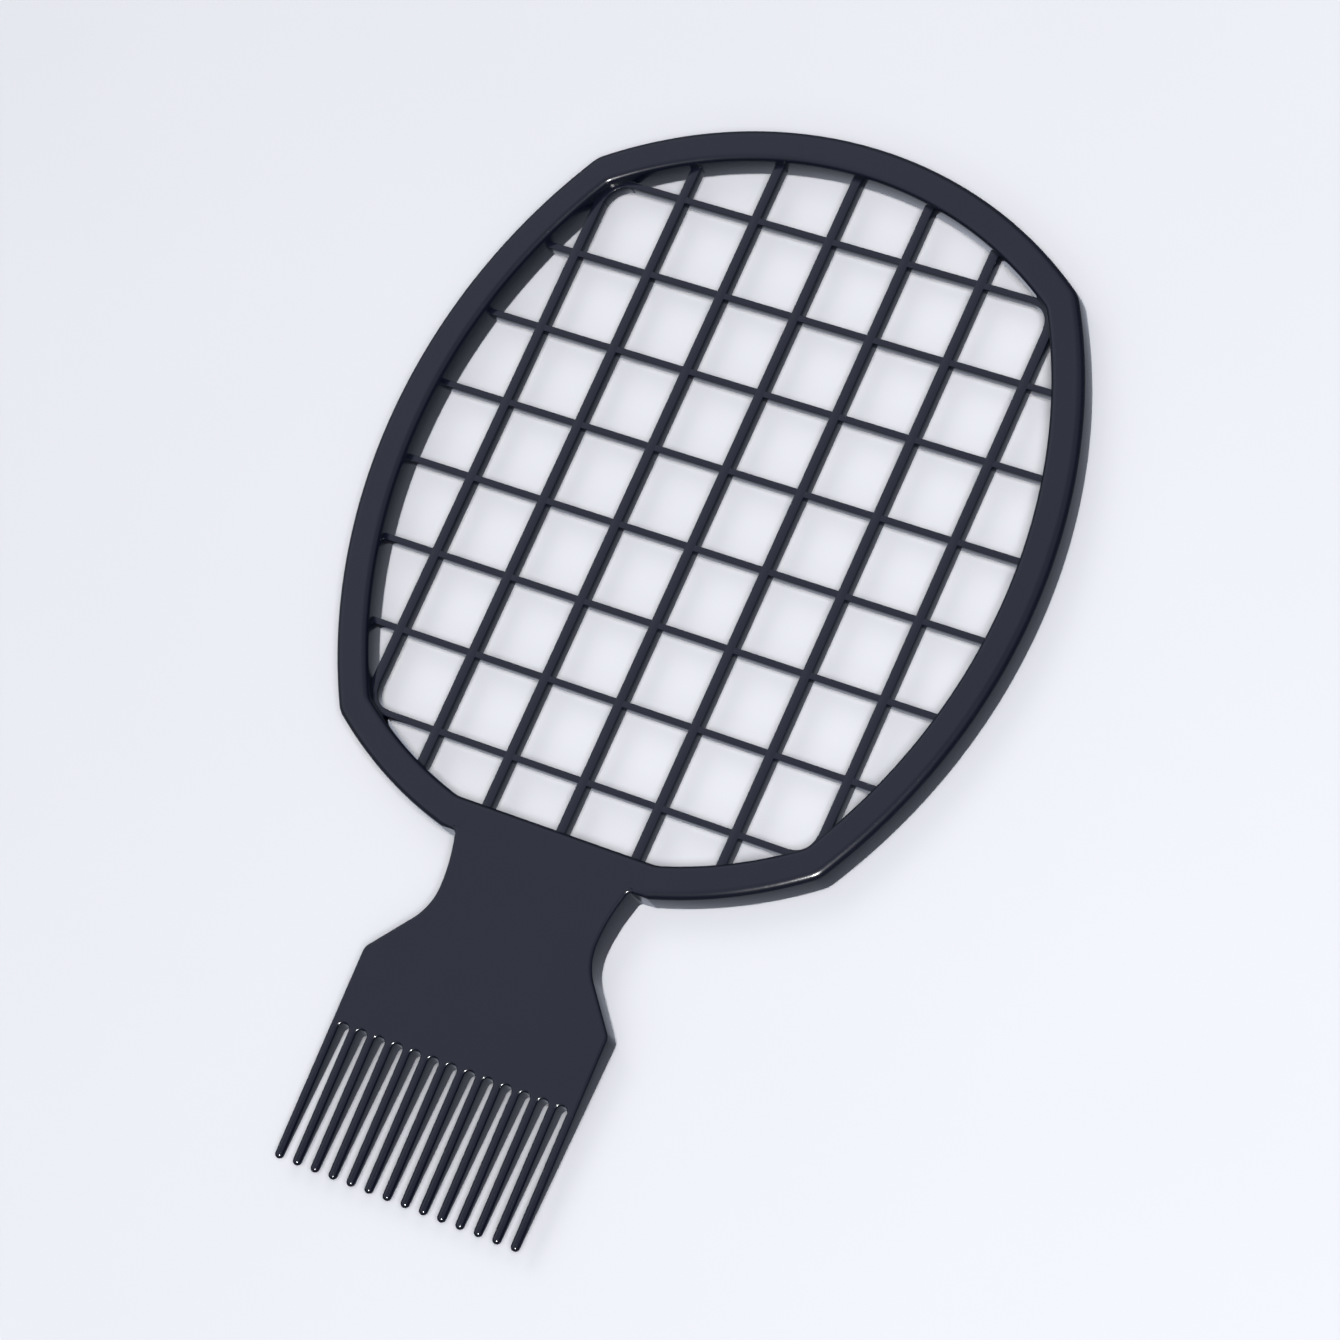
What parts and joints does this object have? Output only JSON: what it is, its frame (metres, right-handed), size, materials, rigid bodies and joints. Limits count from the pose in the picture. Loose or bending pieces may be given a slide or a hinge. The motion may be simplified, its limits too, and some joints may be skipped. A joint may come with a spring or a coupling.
{
  "type": "hair twist comb",
  "caption": "Flat plastic curl comb: a barrel-shaped rim around a square grid, a waisted neck below it, and a comb of straight round-ended teeth.",
  "frame": {"origin": "centre of the footprint, on the flat back that the comb lies on", "axes": "+Z out of the comb's face, +Y from the teeth towards the far end of the rim, +X to the right seen from above; X = 0 is the plane of symmetry"},
  "size_m": [0.1112, 0.175, 0.006],
  "materials": {
    "black_plastic": "black, semi-gloss, as moulded"
  },
  "bodies": {
    "root": {"head_rim": "black_plastic", "neck": "black_plastic", "comb_plate": "black_plastic", "tooth_01": "black_plastic", "tooth_02": "black_plastic", "tooth_03": "black_plastic", "tooth_04": "black_plastic", "tooth_05": "black_plastic", "tooth_06": "black_plastic", "tooth_07": "black_plastic", "tooth_08": "black_plastic", "tooth_09": "black_plastic", "tooth_10": "black_plastic", "tooth_11": "black_plastic", "tooth_12": "black_plastic", "tooth_13": "black_plastic", "tooth_14": "black_plastic", "long_bar_1": "black_plastic", "long_bar_2": "black_plastic", "long_bar_3": "black_plastic", "long_bar_4": "black_plastic", "long_bar_5": "black_plastic", "long_bar_6": "black_plastic", "long_bar_7": "black_plastic", "cross_bar_1": "black_plastic", "cross_bar_2": "black_plastic", "cross_bar_3": "black_plastic", "cross_bar_4": "black_plastic", "cross_bar_5": "black_plastic", "cross_bar_6": "black_plastic", "cross_bar_7": "black_plastic", "cross_bar_8": "black_plastic", "gusset_lower_left": "black_plastic", "gusset_lower_right": "black_plastic", "gusset_upper_left": "black_plastic", "gusset_upper_right": "black_plastic"}
  },
  "joints": []
}
